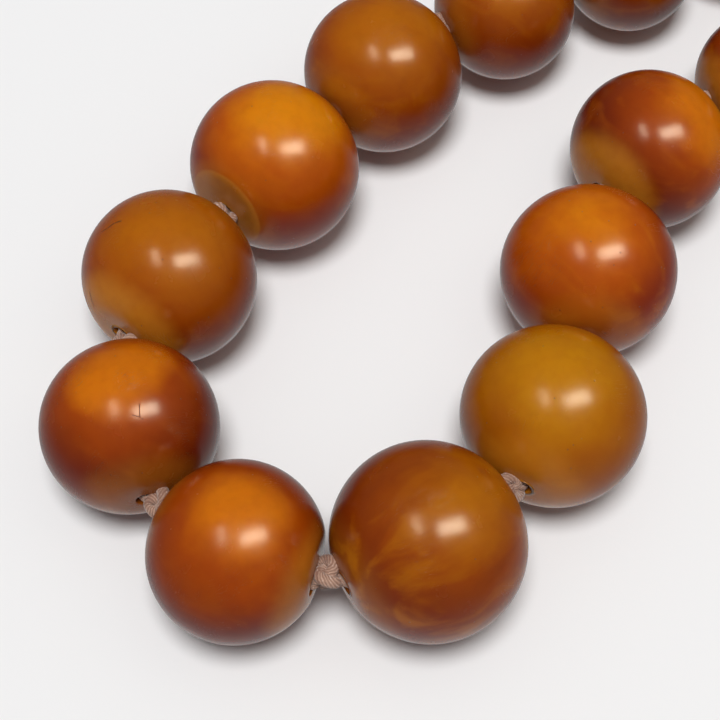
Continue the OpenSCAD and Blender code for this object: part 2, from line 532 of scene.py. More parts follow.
    def _cracked(self, paint: Paint, unit: object, own: object) -> Value:
        """The bead's few dark cracks.

        Args:
            paint: The material's paint.
            unit: Place on the bead, in radii.
            own: The bead's own stretch of the noise.

        Returns:
            Their mask.
        """
        marks = paint.maths("ADD", 0.0, 0.0)
        if not self.cracks:
            return marks
        bent = paint.drift(paint.drift(unit, 2.3, 0.07), 14.0, 0.02)
        for crack in self.cracks:
            at = Vector(crack.at).normalized()
            across = at.cross(Vector(crack.runs)).normalized()
            line = paint.smooth(abs(paint.dot(bent, across) - at.dot(across)), crack.width, crack.width * 0.3)
            within = paint.smooth(paint.distance(unit, at), crack.length, crack.length * 0.6)
            marks = marks.most(line * within)
        return marks


@dataclass(frozen=True)
class Thread:
    """Twisted silk: fine filaments that catch the light along each ply, with painted shade where the plies
    press together and painted glints.

    Reads the piece's own map, which runs round and along every ply.
    """

    light: Colour = (0.58, 0.37, 0.275)
    deep: Colour = (0.19, 0.082, 0.056)
    filaments: float = 9.0
    slant: float = 0.9
    sparkle: float = 0.5

    def material(self, name: str) -> bpy.types.Material:
        """Makes the silk.

        Args:
            name: Material name.

        Returns:
            The material.
        """
        paint = Paint(name)
        lay = paint.node("UVMap", {"uv_map": "lay"}).outputs[0]
        parts = paint.node("SeparateXYZ", Vector=lay)
        around = Value(paint, parts.outputs[0])
        along = Value(paint, parts.outputs[1])
        coords = paint.node("TexCoord").outputs["Object"]
        loose = paint.cloud(coords, 1400.0, 2) - 0.5
        lines = paint.maths("SINE", TURN * (self.filaments * around + self.slant * along) + 5.0 * loose)
        fibre = 0.5 + 0.5 * lines
        patch = paint.cloud(coords, 420.0, 3)
        # Painted shade in the crevices where the plies press together.
        ply_crevice_shade = paint.smooth(paint.maths("COSINE", TURN * around), 0.25, 1.0)
        shade = (0.55 * fibre + 0.75 * patch - 0.1).clear()
        colour = paint.blend(shade, self.deep, self.light)
        colour = paint.blend(0.45 * ply_crevice_shade, colour, self.deep)
        # Painted glints: specks along the fibres painted paler, where the roughness also drops.
        glint = paint.smooth(paint.cloud(coords, 3800.0, 1), 0.60, 0.72) * fibre
        colour = paint.blend(self.sparkle * glint, colour, (0.95, 0.80, 0.72))
        rough = 0.52 - 0.22 * glint + 0.10 * patch
        relief = 0.6 * fibre + 0.5 * patch + 0.4 * loose
        bump = paint.node("Bump", Strength=0.8, Distance=0.00018, Height=relief)
        shader = paint.node(
            "BsdfPrincipled",
            Base_Color=colour,
            Roughness=rough,
            Normal=bump.outputs[0],
            Sheen_Weight=0.35,
            Sheen_Roughness=0.4,
            Sheen_Tint=(1.0, 0.9, 0.85, 1.0),
        )
        return paint.finish(shader)


@dataclass(frozen=True)
class Backdrop:
    """Matt white paper with a very fine tooth."""

    colour: Colour = (0.86, 0.86, 0.865)

    def material(self) -> bpy.types.Material:
        """Makes the paper."""
        paint = Paint("white_paper")
        coords = paint.node("TexCoord").outputs["Object"]
        tooth = paint.cloud(coords, 900.0, 2)
        colour = paint.blend(0.04 * tooth, self.colour, (0.80, 0.80, 0.80))
        bump = paint.node("Bump", Strength=0.05, Distance=0.0002, Height=tooth)
        shader = paint.node("BsdfPrincipled", Base_Color=colour, Roughness=0.75, Normal=bump.outputs[0])
        return paint.finish(shader)


# --- making pieces -----------------------------------------------------


def new_piece(
    name: str,
    shape: bmesh.types.BMesh,
    body: str,
    stands_for: Iterable[str],
    finish: bpy.types.Material,
) -> bpy.types.Object:
    """Turns a shape into a piece of the model.

    Args:
        name: Piece name.
        shape: Its mesh, already in place; it is used up.
        body: CAD body that it moves with.
        stands_for: CAD nodes that it replaces.
        finish: Its material.

    Returns:
        The object.
    """
    mesh = bpy.data.meshes.new(name)
    shape.to_mesh(mesh)
    shape.free()
    for face in mesh.polygons:
        face.use_smooth = True
    mesh.materials.append(finish)
    piece = bpy.data.objects.new(name, mesh)
    bpy.context.scene.collection.objects.link(piece)
    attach(piece, body)
    nodes = list(stands_for)
    if nodes:
        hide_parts(*nodes)
    log.info("%s: %d faces, rides on %s", name, len(mesh.polygons), body)
    return piece


def spun(shape: bmesh.types.BMesh, steps: int) -> None:
    """Spins an outline in the XZ plane once round Z and closes it.

    Args:
        shape: The outline, which becomes the mesh.
        steps: Steps once round.
    """
    bmesh.ops.spin(
        shape,
        geom=shape.verts[:] + shape.edges[:],
        cent=(0, 0, 0),
        axis=(0, 0, 1),
        angle=TURN,
        steps=steps,
        use_merge=True,
    )
    bmesh.ops.remove_doubles(shape, verts=shape.verts[:], dist=1e-6)
    bmesh.ops.recalc_face_normals(shape, faces=shape.faces[:])


@dataclass
class Bead:
    """A round bead: bore, rounded hole mouths, a round side and two worn ends."""

    number: int
    finish: Resin
    end_start: tuple[float, float, float] = (0.93, 0.0, 0.0)
    end_finish: tuple[float, float, float] = (0.93, 0.0, 0.0)
    bore_r: float = 1.35 * MM
    lip: float = 0.45 * MM
    roundness: float = 0.95
    around: int = 96
    outline: int = 108
    unevenness: float = 0.005
    crease: float = 0.012
    node: str = field(init=False)
    centre: Vector = field(init=False)
    along: Vector = field(init=False)
    radius: float = field(init=False)

    def __post_init__(self) -> None:
        """Reads the bead's place and size from the frame."""
        self.node = f"bead_{self.number:02d}"
        self.centre = joint_place(self.node + "_turn")
        self.along = Vector(JOINTS[self.node + "_turn"]["axis"]).normalized()
        low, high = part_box(self.node)
        self.radius = (high.z - low.z) / 2

    def frame_matrix(self) -> Matrix:
        """Returns the bead's frame: +Z along the bore, +Y up, +X to the inside of the loop."""
        return facing(self.centre, self.along)

    def _turned(self) -> bmesh.types.BMesh:
        """Spins the bead's outline and rounds the mouths of its bore.

        Returns:
            The bead's mesh, along +Z.
        """
        shape = bmesh.new()
        side_r = self.radius * self.roundness
        bmesh.ops.create_circle(shape, cap_ends=False, segments=self.outline, radius=side_r)
        bmesh.ops.rotate(shape, verts=shape.verts[:], matrix=Matrix.Rotation(math.pi / 2, 3, "X"))
        bmesh.ops.translate(shape, verts=shape.verts[:], vec=(self.radius - side_r, 0, 0))
        bmesh.ops.bisect_plane(
            shape,
            geom=shape.verts[:] + shape.edges[:],
            dist=1e-7,
            plane_co=(self.bore_r, 0, 0),
            plane_no=(-1, 0, 0),
            clear_outer=True,
        )
        ends = [vert for vert in shape.verts if len(vert.link_edges) == 1]
        shape.edges.new(ends)
        spun(shape, self.around)
        mouths = [
            edge
            for edge in shape.edges
            if all(math.hypot(vert.co.x, vert.co.y) < self.bore_r * 1.01 for vert in edge.verts)
            and edge.verts[0].co.z * edge.verts[1].co.z > 0
        ]
        bmesh.ops.bevel(
            shape, geom=mouths, offset=self.lip, segments=4, profile=0.5, affect="EDGES", material=-1
        )
        return shape

    def _wear(self, shape: bmesh.types.BMesh) -> None:
        """Presses the two ends flat, at their own depths and tilts, and makes the round slightly uneven.

        Args:
            shape: The bead's mesh, along +Z.
        """
        crease = self.crease * self.radius
        for side, (depth, inward, upward) in ((-1, self.end_start), (1, self.end_finish)):
            facing_out = Vector((math.sin(inward), math.sin(upward), side)).normalized()
            for vert in shape.verts:
                over = vert.co.dot(facing_out) - depth * self.radius
                if over > -4 * crease:
                    vert.co -= facing_out * (crease * math.log1p(math.exp(min(over / crease, 40.0))))
        for vert in shape.verts:
            soft = noise.noise(vert.co * (1.1 / self.radius) + Vector((self.number * 5.3, 0, 0)))
            vert.co *= 1 + self.unevenness * soft

    def build(self) -> bpy.types.Object:
        """Builds the bead, puts it in place and dresses it.

        Returns:
            The bead.
        """
        shape = self._turned()
        self._wear(shape)
        shape.transform(self.frame_matrix())
        depth, inward, upward = self.end_finish
        face = self.frame_matrix().to_3x3() @ Vector((math.sin(inward), math.sin(upward), 1)).normalized()
        name = "resin_" + self.node[5:]
        resin = self.finish.material(name, self.centre, self.along, self.radius, self.number, depth * face)
        return new_piece("polished_" + self.node, shape, self.node, [self.node], resin)


@dataclass
class Cord:
    """Three-ply twisted silk cord, laid along any line."""

    ply_r: float = 0.46 * MM
    plies: int = 3
    pitch: float = 4.2 * MM
    sides: int = 8
    steps_per_pitch: int = 11

    def _straight(self, length: float) -> bmesh.types.BMesh:
        """A straight length of cord along +Z, mapped round and along each ply.

        Args:
            length: Its length.

        Returns:
            Its mesh.
        """
        shape = bmesh.new()
        lay = shape.loops.layers.uv.new("lay")
        offset = self.ply_r / math.sin(math.pi / self.plies) * 0.92 if self.plies > 1 else 0.0
        steps = max(2, round(length / self.pitch * self.steps_per_pitch))
        spot = Matrix.Translation((offset, 0, 0))
        bmesh.ops.create_circle(shape, cap_ends=True, segments=self.sides, radius=self.ply_r, matrix=spot)
        bmesh.ops.spin(
            shape,
            geom=shape.verts[:] + shape.edges[:] + shape.faces[:],
            cent=(0, 0, 0),
            axis=(0, 0, 1),
            dvec=(0, 0, length / steps),
            angle=TURN * length / self.pitch,
            steps=steps,
        )
        bmesh.ops.recalc_face_normals(shape, faces=shape.faces[:])
        for face in shape.faces:
            self._map_face(face, lay, offset)
        ply = shape.verts[:] + shape.edges[:] + shape.faces[:]
        for index in range(1, self.plies):
            copy = bmesh.ops.duplicate(shape, geom=ply)["geom"]
            turn = Matrix.Rotation(TURN * index / self.plies, 3, "Z")
            corners = [part for part in copy if isinstance(part, bmesh.types.BMVert)]
            bmesh.ops.rotate(shape, verts=corners, matrix=turn)
        return shape

    def _map_face(self, face: bmesh.types.BMFace, lay: bmesh.types.BMLayerItem, offset: float) -> None:
        """Maps one face: across is the way round its ply, up is the length in pitches.

        Args:
            face: The face.
            lay: The map.
            offset: Distance of a ply from the cord's middle.
        """
        first = None
        for loop in face.loops:
            co = loop.vert.co
            lead = TURN * co.z / self.pitch
            middle = Vector((math.cos(lead), math.sin(lead))) * offset
            angle = (math.atan2(co.y - middle.y, co.x - middle.x) - lead) / TURN + 0.5
            if first is None:
                first = angle
            angle -= round(angle - first)
            loop[lay].uv = (angle, co.z / self.pitch)

    def laid(self, line: list[Vector]) -> bmesh.types.BMesh:
        """Lays a length of cord along a line of points.

        Args:
            line: Points that the cord's middle follows.

        Returns:
            The cord's mesh.
        """
        reach = [0.0]
        for before, after in zip(line, line[1:]):
            reach.append(reach[-1] + (after - before).length)
        frames = self._frames(line)
        shape = self._straight(reach[-1])
        place = 0
        for vert in sorted(shape.verts, key=lambda v: v.co.z):
            z = min(max(vert.co.z, 0.0), reach[-1])
            while place < len(reach) - 2 and reach[place + 1] < z:
                place += 1
            share = (z - reach[place]) / (reach[place + 1] - reach[place])
            spot = line[place].lerp(line[place + 1], share)
            x_axis = frames[place][0].lerp(frames[place + 1][0], share).normalized()
            y_axis = frames[place][1].lerp(frames[place + 1][1], share).normalized()
            vert.co = spot + x_axis * vert.co.x + y_axis * vert.co.y
        return shape

    def _frames(self, line: list[Vector]) -> list[tuple[Vector, Vector]]:
        """Untwisted sideways directions at each point of a line.

        Args:
            line: Points of the line.

        Returns:
            Two directions for each point.
        """
        frames = []
        side = None
        for index in range(len(line)):
            ahead = (line[min(index + 1, len(line) - 1)] - line[max(index - 1, 0)]).normalized()
            if side is None:
                side = ahead.orthogonal().normalized()
            side = (side - ahead * side.dot(ahead)).normalized()
            frames.append((side, ahead.cross(side)))
        return frames


@dataclass
class Knot:
    """A single overhand knot, pulled tight on the strand."""

    spread: float = 0.58 * MM
    depth: float = 1.10 * MM
    points: int = 72
    cord: Cord = field(default_factory=lambda: Cord(ply_r=0.92 * MM, plies=1, pitch=3.6 * MM, sides=20))
    pattern: Optional[bpy.types.Mesh] = None

    def _first(self) -> bpy.types.Mesh:
        """Lays the cord along the knot's line once, for every knot to be copied from.

        Returns:
            The pattern's mesh.
        """
        line = []
        for index in range(self.points + 1):
            t = TURN * index / self.points
            line.append(
                Vector(
                    (
                        self.spread * (math.sin(t) + 2 * math.sin(2 * t)),
                        self.spread * (math.cos(t) - 2 * math.cos(2 * t)),
                        -self.depth * math.sin(3 * t),
                    )
                )
            )
        shape = self.cord.laid(line)
        mesh = bpy.data.meshes.new("knot_pattern")
        shape.to_mesh(mesh)
        shape.free()
        return mesh

    def tied(self, place: Vector, along: Vector, seed: int, size: float = 1.0) -> bmesh.types.BMesh:
        """Ties a knot.

        Args:
            place: Middle of the knot.
            along: Direction of the strand through it.
            seed: Which way round it happened to be tied.
            size: Scale of the whole knot.

        Returns:
            The knot's mesh.
        """
        chance = random.Random(seed)
        if self.pattern is None:
            self.pattern = self._first()
        shape = bmesh.new()
        shape.from_mesh(self.pattern)
        tilted = Matrix.Rotation(chance.uniform(-0.35, 0.35), 4, "X")
        lean = tilted @ Matrix.Rotation(chance.uniform(0, TURN), 4, "Z")
        shape.transform(facing(place, along) @ Matrix.Scale(size, 4) @ lean)
        return shape


def joined(shapes: list[bmesh.types.BMesh]) -> bmesh.types.BMesh:
    """Puts several shapes into the first of them and returns it.

    Args:
        shapes: The shapes; all but the first are used up.

    Returns:
        The first shape.
    """
    whole = shapes[0]
    for shape in shapes[1:]:
        mesh = bpy.data.meshes.new("part")
        shape.to_mesh(mesh)
        shape.free()
        whole.from_mesh(mesh)
        bpy.data.meshes.remove(mesh)
    return whole


def rounded(points: list[Vector], steps: int = 6) -> list[Vector]:
    """A smooth line through points.

    Args:
        points: Points that the line passes.
        steps: Points made between each two.

    Returns:
        The line.
    """
    padded = [2 * points[0] - points[1], *points, 2 * points[-1] - points[-2]]
    line = []
    for a, b, c, d in zip(padded, padded[1:], padded[2:], padded[3:]):
        for index in range(steps):
            t = index / steps
            square = (2 * a - 5 * b + 4 * c - d) * t * t
            cube = (3 * b - a - 3 * c + d) * t**3
            line.append(0.5 * (2 * b + (c - a) * t + square + cube))
    line.append(points[-1])
    return line


@dataclass
class Strand:
    """The whole loop: beads, and the knotted silk cord that they sit on."""

    beads: list[Bead]
    silk: Thread
    tuck: float = 0.42
    hinges: tuple[int, ...] = (2, 3, 8, 12, 13, 22, 23, 27, 32, 33)
    cord: Cord = field(default_factory=Cord)
    knot: Knot = field(default_factory=Knot)
    silk_material: Optional[bpy.types.Material] = field(default=None, init=False)

    def bead(self, number: int) -> Bead:
        """Returns the bead of that number, counted from 1."""
        return self.beads[number - 1]

    def knot_place(self, number: int) -> Vector:
        """Where a knot sits: on both bores where the loop gives, tucked between the beads elsewhere.

        Args:
            number: The knot's number.

        Returns:
            Its place.
        """
        before = self.bead(max(number, 1))
        after = self.bead(min(number + 1, BEAD_COUNT))
        if number in (0, BEAD_COUNT):
            side = -1 if number == 0 else 1
            return before.centre + before.along * side * before.radius
        gap = after.centre - before.centre
        turn = before.along.angle(after.along)
        reach = gap.length / 2 / math.cos(turn / 2)
        share = before.radius / (before.radius + after.radius)
        meeting = before.centre + before.along * (2 * reach * share)
        back = after.centre - after.along * (2 * reach * (1 - share))
        own = (meeting + back) / 2
        if number in self.hinges:
            return own
        touching = before.centre.lerp(after.centre, share)
        return own.lerp(touching, self.tuck)

    def knot_along(self, number: int) -> Vector:
        """Direction of the strand through a knot.

        Args:
            number: The knot's number.

        Returns:
            The direction.
        """
        before = self.bead(max(number, 1)).along
        after = self.bead(min(number + 1, BEAD_COUNT)).along
        return (before + after).normalized()

    def stretch(self, number: int) -> list[Vector]:
        """The cord's line through one bead, from the knot before it to the knot after it.

        Args:
            number: The bead's number.

        Returns:
            The line's points.
        """
        bead = self.bead(number)
        mouth = bead.along * bead.radius * 0.86
        points = [
            self.knot_place(number - 1),
            bead.centre - mouth,
            bead.centre - mouth * 0.5,
            bead.centre + mouth * 0.5,
            bead.centre + mouth,
            self.knot_place(number),
        ]
        return rounded(points)

    def run(self, name: str, node: str, body: str, through: Iterable[int], knots: Iterable[int]) -> None:
        """Builds one length of the cord with its knots.

        Args:
            name: Piece name.
            node: CAD node that it replaces.
            body: Body that it rides on.
            through: Beads that it passes through.
            knots: Knots tied in it.
        """
        shapes = [self.cord.laid(self.stretch(number)) for number in through]
        for number in knots:
            shapes.append(self.knot.tied(self.knot_place(number), self.knot_along(number), number))
        new_piece(name, joined(shapes), body, [node], self.silk_material)

    def build(self) -> None:
        """Builds every bead and every length of cord."""
        self.silk_material = self.silk.material("twisted_silk")
        for bead in self.beads:
            bead.build()
        self.run("silk_bend", "cord_bend", "bend", range(14, 23), range(13, 23))
        self.run("silk_left_1", "cord_left_1", "left_1", [13], [12])
        self.run("silk_left_2", "cord_left_2", "left_2", range(9, 13), range(8, 12))
        self.run("silk_left_3", "cord_left_3", "left_3", range(4, 9), range(3, 8))
        self.run("silk_left_4", "cord_left_4", "left_4", [3], [2])
        self.run("silk_right_1", "cord_right_1", "right_1", [23], [23])
        self.run("silk_right_2", "cord_right_2", "right_2", range(24, 28), range(24, 28))
        self.run("silk_right_3", "cord_right_3", "right_3", range(28, 33), range(28, 33))
        self.run("silk_right_4", "cord_right_4", "right_4", [33], [33])


@dataclass
class Leader:
    """The long leader bead that gathers both ends of the loop."""

    finish: Resin
    around: int = 96

    def build(self) -> None:
        """Lathes the leader bead with a collar at its base and a fine groove under its tip."""
        low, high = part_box("leader_bead")
        length = high.y - low.y
        wide = (high.x - low.x) / 2
        tip = 4.5 * MM
        bore = 2.25 * MM
        stations = (
            (0.000, bore + 1.6 * MM),
            (0.000, wide * 0.70),
            (0.020, wide * 0.79),
            (0.055, wide * 0.80),
            (0.075, wide * 0.765),
            (0.095, wide * 0.80),
            (0.150, wide * 0.91),
            (0.220, wide * 0.98),
            (0.300, wide),
            (0.400, wide * 0.965),
            (0.500, wide * 0.87),
            (0.600, wide * 0.765),
            (0.700, wide * 0.665),
            (0.800, wide * 0.59),
            (0.880, wide * 0.55),
            (0.905, wide * 0.515),
            (0.925, wide * 0.545),
            (0.985, tip),
            (1.000, tip * 0.90),
            (1.000, bore * 1.15),
            (0.980, bore),
            (0.120, bore),
        )
        shape = bmesh.new()
        verts = [shape.verts.new((radius, 0, share * length)) for share, radius in stations]
        for pair in zip(verts, verts[1:] + verts[:1]):
            shape.edges.new(pair)
        spun(shape, self.around)
        rings = [edge for edge in shape.edges if abs(edge.verts[0].co.z - edge.verts[1].co.z) < 1e-7]
        bmesh.ops.bevel(
            shape,
            geom=rings,
            offset=0.22,
            offset_type="PERCENT",
            segments=3,
            profile=0.5,
            affect="EDGES",
            material=-1,
            clamp_overlap=True,
        )
        centre = (low + high) / 2
        shape.transform(facing(Vector((centre.x, low.y, centre.z)), Vector((0, 1, 0))))
        resin = self.finish.material("resin_leader", centre, Vector((0, 1, 0)), wide, 57)
        new_piece("leader_spindle", shape, "leader", ["leader_bead"], resin)


@dataclass
class Tassel:
    """The tassel: neck cord, thread head, wound binding and loose threads."""

    strand: Strand
    thread: Thread
    threads: int = 150
    thread_r: float = 0.42 * MM

    def _hinge(self) -> Vector:
        """Returns where the tassel hangs from its neck."""
        return joint_place("tassel_lift")

    def build_end(self) -> None:
        """Builds the cord from the last beads through the leader to its knot."""
        strand = self.strand
        cord = strand.cord
        low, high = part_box("leader_bead")
        mouth = Vector(((low.x + high.x) / 2, low.y, (low.z + high.z) / 2))
        knot = joint_place("tassel_swing")
        first = strand.bead(1)
        last = strand.bead(BEAD_COUNT)
        side = Vector((cord.ply_r * 1.9, 0, 0))
        shapes = [cord.laid(strand.stretch(2)), cord.laid(strand.stretch(1))]
        for number in (0, 1):
            shapes.append(strand.knot.tied(strand.knot_place(number), strand.knot_along(number), number))
        for bead, end, sign in ((first, strand.knot_place(0), -1), (last, strand.knot_place(BEAD_COUNT), 1)):
            out = bead.along * sign
            hang = end.lerp(mouth, 0.5)
            inside = mouth + side * sign
            points = [end, end + out * 3 * MM, hang, inside - Vector((0, 3 * MM, 0)), inside]
            points += [inside.lerp(knot + side * sign, share) for share in (0.33, 0.66, 1.0)]
            shapes.append(cord.laid(rounded(points)))
        shapes.append(strand.knot.tied(knot, Vector((0, 1, 0)), 40, 1.2))
        new_piece("silk_end", joined(shapes), "end", ["cord_end"], strand.silk_material)

    def build_neck(self) -> None:
        """Builds the doubled cord between the leader and the tassel."""
        knot = joint_place("tassel_swing")
        hinge = self._hinge()
        shapes = []
        for sign in (-1, 1):
            side = Vector((self.strand.cord.ply_r * 1.9 * sign, 0, 0))
            line = [(knot + side).lerp(hinge + side * 0.7, index / 8) for index in range(9)]
            shapes.append(self.strand.cord.laid(line))
        shapes.append(self.strand.knot.tied(hinge, Vector((0, 1, 0)), 41, 0.85))
        silk = self.strand.silk_material
        new_piece("silk_neck", joined(shapes), "tassel_neck", ["tassel_cord"], silk)

    def build_head(self, finish: bpy.types.Material) -> None:
        """Builds the head: threads drawn over a ball and gathered under the binding.

        Args:
            finish: The threads' material.
        """
        low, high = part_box("tassel_head")
        bind_low, bind_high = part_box("tassel_binding")
        radius = (high.x - low.x) / 2
        neck_r = (bind_high.x - bind_low.x) / 2 * 0.92
        centre = Vector(((low.x + high.x) / 2, low.y + radius, (low.z + high.z) / 2))
        shape = bmesh.new()
        bmesh.ops.create_uvsphere(shape, u_segments=192, v_segments=28, radius=radius)
        for vert in shape.verts:
            flat = math.hypot(vert.co.x, vert.co.y)
            angle = math.atan2(vert.co.y, vert.co.x)
            ridge = 1 + 0.028 * abs(math.sin(24 * angle + 2.2 * vert.co.z / radius))
            if flat > 1e-6:
                wide = max(flat, neck_r) if vert.co.z > 0.35 * radius else flat
                vert.co.x *= ridge * wide / flat * 0.975
                vert.co.y *= ridge * wide / flat * 0.975
        lay = shape.loops.layers.uv.new("lay")
        for face in shape.faces:
            first = None
            for loop in face.loops:
                angle = math.atan2(loop.vert.co.y, loop.vert.co.x) / TURN * 24
                if first is None:
                    first = angle
                angle -= 24 * round((angle - first) / 24)
                loop[lay].uv = (angle, loop.vert.co.z / (4 * MM))
        shape.transform(facing(centre, Vector((0, 1, 0))))
        hinge = self._hinge()
        loops = [shape]
        for sign in (-1, 1):
            side = Vector((self.strand.cord.ply_r * 1.3 * sign, 0, 0))
            far = Vector((hinge.x, low.y + 1.5 * MM, hinge.z))
            line = [(hinge + side).lerp(far + side, index / 4) for index in range(5)]
            loops.append(self.strand.cord.laid(line))
        shape = joined(loops)
        new_piece("thread_head", shape, "tassel", ["tassel_head"], finish)

    def build_binding(self, finish: bpy.types.Material) -> None:
        """Winds the binding thread round the neck of the tassel.

        Args:
            finish: The threads' material.
        """
        low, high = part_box("tassel_binding")
        radius = (high.x - low.x) / 2
        length = high.y - low.y
        wound_r = 0.36 * MM
        turns = int(length / (wound_r * 1.75))
        steps = turns * 40
        shape = bmesh.new()
        spot = Matrix.Translation((radius - wound_r, 0, wound_r)) @ Matrix.Rotation(math.pi / 2, 4, "X")
        circle = bmesh.ops.create_circle(shape, cap_ends=False, segments=8, radius=wound_r, matrix=spot)
        ring = circle["verts"]
        edges = list({edge for vert in ring for edge in vert.link_edges})
        rise = (length - 2 * wound_r) / steps
        bmesh.ops.spin(
            shape,
            geom=ring + edges,
            cent=(0, 0, 0),
            axis=(0, 0, 1),
            dvec=(0, 0, rise),
            angle=TURN * turns,
            steps=steps,
        )
        bmesh.ops.holes_fill(shape, edges=[edge for edge in shape.edges if edge.is_boundary], sides=8)
        bmesh.ops.recalc_face_normals(shape, faces=shape.faces[:])
        lay = shape.loops.layers.uv.new("lay")
        for face in shape.faces:
            first = None
            for loop in face.loops:
                co = loop.vert.co
                lead = math.atan2(co.y, co.x)
                if first is None:
                    first = lead
                lead -= TURN * round((lead - first) / TURN)
                across = 0.5 + 0.3 * (math.hypot(co.x, co.y) - radius) / wound_r
                loop[lay].uv = (across, lead * radius / (2 * MM))
        start = Vector(((low.x + high.x) / 2, low.y, (low.z + high.z) / 2))
        shape.transform(facing(start, Vector((0, 1, 0))))
        new_piece("wound_binding", shape, "tassel", ["tassel_binding"], finish)

    def build_skirt(self, finish: bpy.types.Material) -> None:
        """Lays the loose threads, fanned out and sagging towards the floor.

        Args:
            finish: The threads' material.
        """
        low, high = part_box("tassel_skirt")
        bind_low, bind_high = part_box("tassel_binding")
        chance = random.Random(7)
        start_r = (bind_high.x - bind_low.x) / 2 * 0.86
        end_r = (high.x - low.x) / 2
        axis = Vector(((low.x + high.x) / 2, 0, (low.z + high.z) / 2))
        length = high.y - low.y
        cord = Cord(ply_r=self.thread_r, plies=1, sides=6, steps_per_pitch=9)
        cord.pitch = length * 1.1
        shapes = []
        for index in range(self.threads):
            ring = math.sqrt((index + 0.5) / self.threads)
            angle = index * math.pi * (3 - math.sqrt(5))
            out = Vector((math.cos(angle), 0, math.sin(angle))) * ring
            reach = length * chance.uniform(0.94, 1.0)
            wander = Vector((chance.uniform(-1, 1), 0, chance.uniform(-1, 1))) * 0.8 * MM
            points = []
            for share in (0.0, 0.12, 0.35, 0.65, 1.0):
                wide = start_r + (end_r - start_r) * share**0.8
                spot = axis + out * (wide - self.thread_r) + wander * math.sin(math.pi * share)
                spot.y = bind_high.y - 1.5 * MM + (reach + 1.5 * MM) * share
                points.append(spot)
            shapes.append(cord.laid(rounded(points, 2)))
        whole = joined(shapes)
        for vert in whole.verts:
            vert.co.z = max(vert.co.z, low.z)
        new_piece("loose_threads", whole, "tassel", ["tassel_skirt"], finish)

    def build(self) -> None:
        """Builds the whole tassel and the cord that it hangs on."""
        self.build_end()
        self.build_neck()
        finish = self.thread.material("tassel_silk")
        self.build_head(finish)
        self.build_binding(finish)
        self.build_skirt(finish)


@dataclass(frozen=True)
class Window:
    """A soft window that shows in the polish: where it hangs, its size, its watts and its turn."""

    name: str
    towards: tuple[float, float, float]
    size: tuple[float, float]
    power: float
    roll: float


